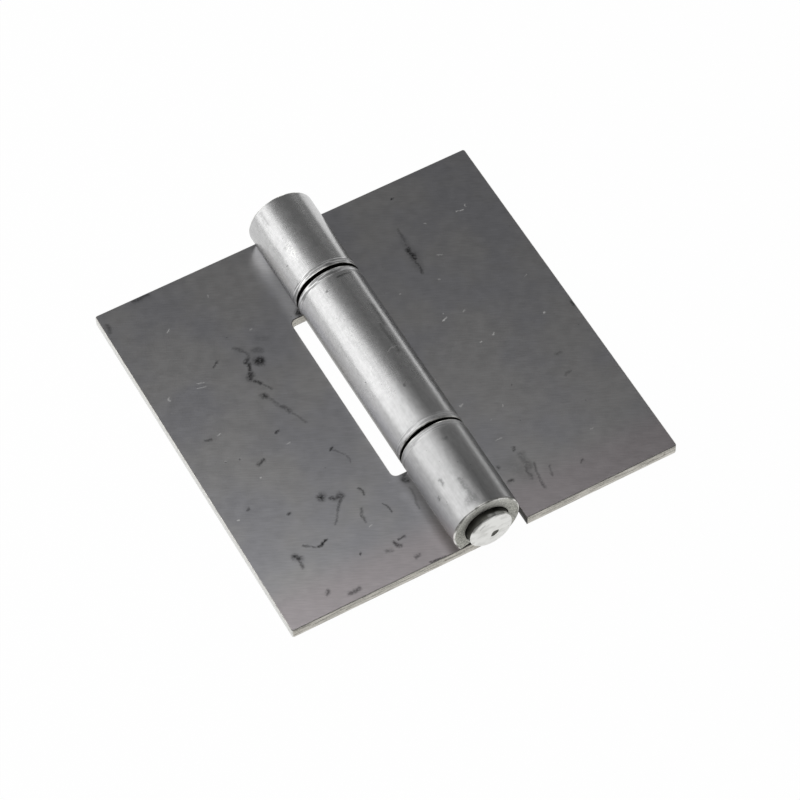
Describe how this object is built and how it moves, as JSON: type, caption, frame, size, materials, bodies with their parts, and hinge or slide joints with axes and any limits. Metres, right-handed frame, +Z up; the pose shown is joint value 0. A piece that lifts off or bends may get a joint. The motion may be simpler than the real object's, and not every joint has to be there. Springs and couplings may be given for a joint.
{
  "type": "butt hinge",
  "caption": "Undrilled weld-on butt hinge with square sheet-steel leaves, rolled knuckles and a straight turned pin, lying open and flat.",
  "frame": {"origin": "centre of the box's bottom: on the undersides' plane, under the pin's axis, at the middle of its length", "axes": "+Y along the pin, +X from the pin across the notched leaf, +Z up from the leaves' undersides through the pin"},
  "size_m": [0.1, 0.104, 0.017],
  "materials": {
    "leaf_steel": "bare mill-finish mild steel, satin on the rolled knuckles, bright at the sheared edges",
    "pin_steel": "bright turned steel"
  },
  "bodies": {
    "fixed_leaf": {"left_leaf": "leaf_steel", "hinge_pin": "pin_steel"},
    "swinging_leaf": {"right_leaf": "leaf_steel"}
  },
  "joints": [
    {"name": "leaf_swing", "type": "hinge", "parent": "fixed_leaf", "child": "swinging_leaf", "pos_m": [0, 0, 0.0085], "axis": [0, -1, 0], "range_deg": [-98, 192]}
  ]
}
